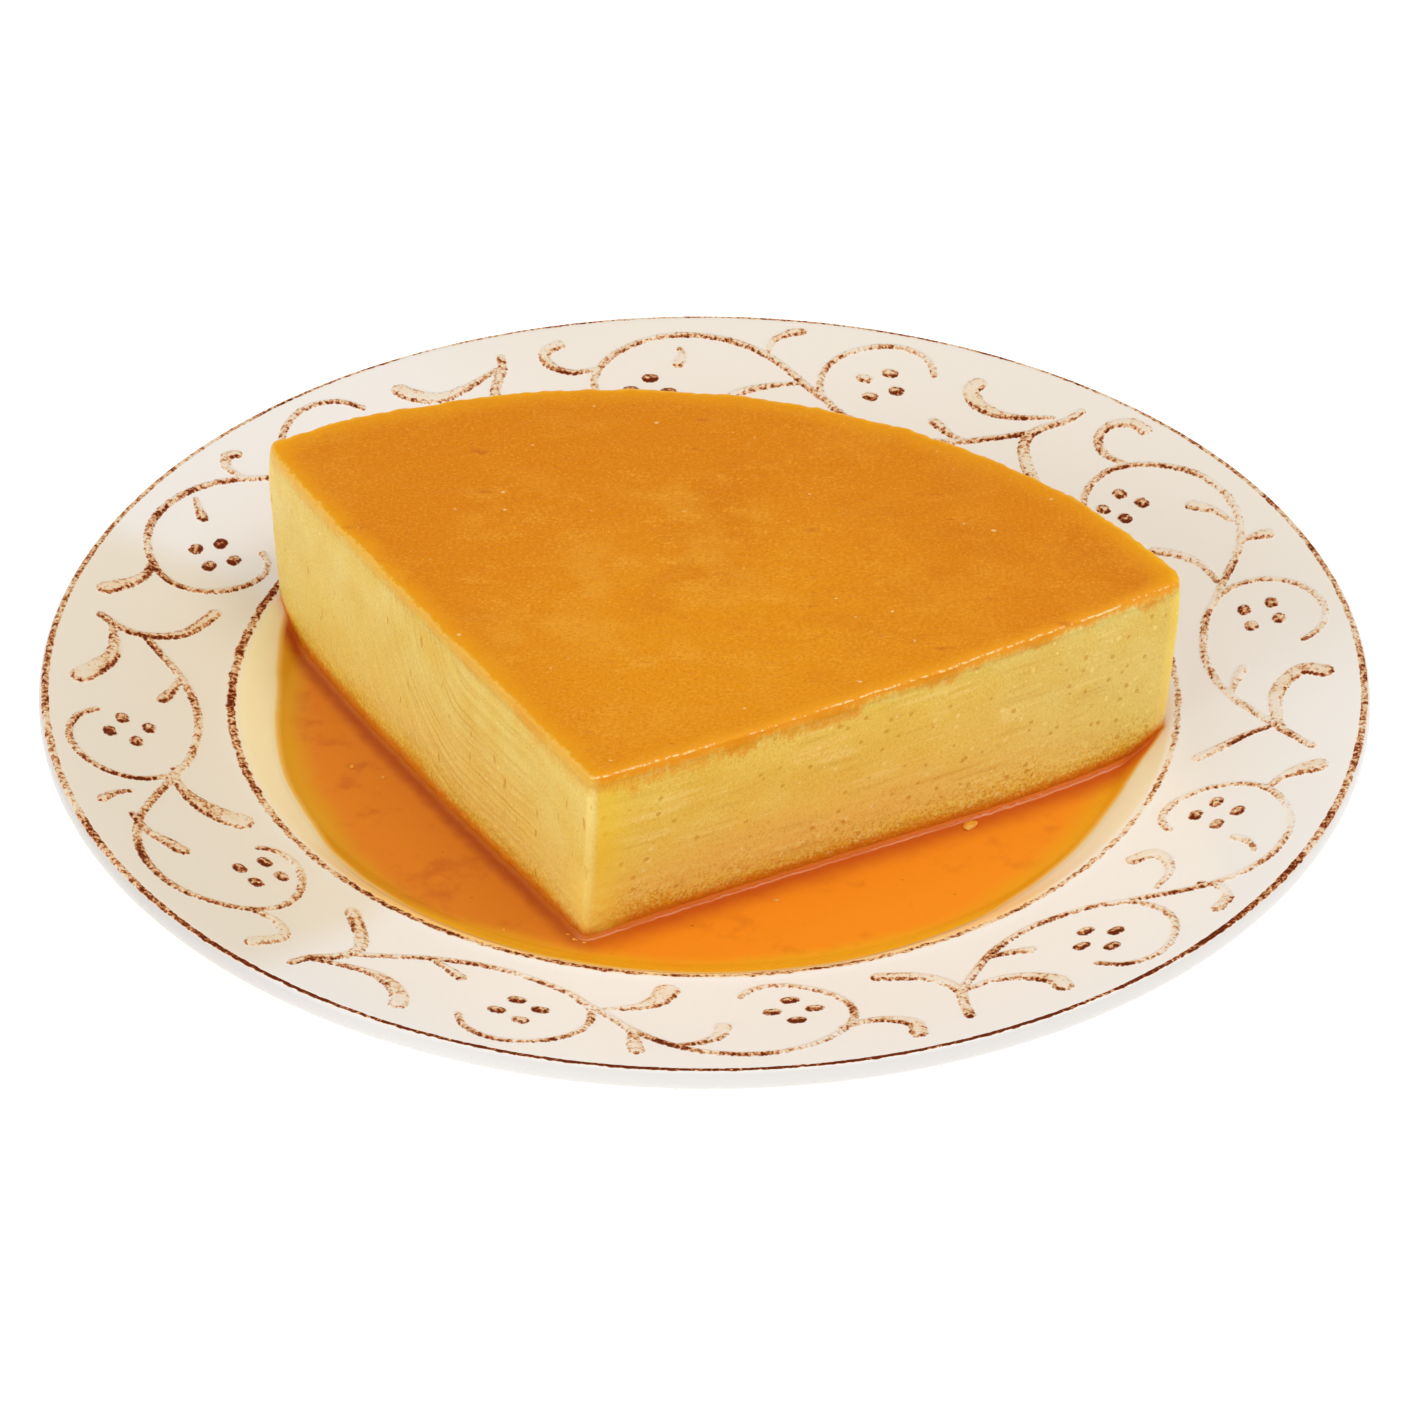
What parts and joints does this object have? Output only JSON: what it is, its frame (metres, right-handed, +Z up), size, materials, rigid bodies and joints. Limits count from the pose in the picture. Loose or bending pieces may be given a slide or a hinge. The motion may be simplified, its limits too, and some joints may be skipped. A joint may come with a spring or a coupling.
{
  "type": "caramel pudding",
  "caption": "Quarter wedge of caramel pudding with a thin caramel top, standing in syrup on a round cream plate with a vine relief on its rim.",
  "frame": {"origin": "middle of the plate's foot, on the surface that it stands on", "axes": "+Z up, +X to the right and +Y to the back, seen with the cut corner of the wedge in front"},
  "size_m": [0.23, 0.23, 0.0461],
  "materials": {
    "plate_glaze": "glossy",
    "custard": "moist, satin",
    "caramel": "moist, satin",
    "syrup": "wet, glossy"
  },
  "bodies": {
    "root": {"plate": "plate_glaze", "custard": "custard", "caramel_top": "caramel", "syrup_front": "syrup", "syrup_back": "syrup"}
  },
  "joints": []
}
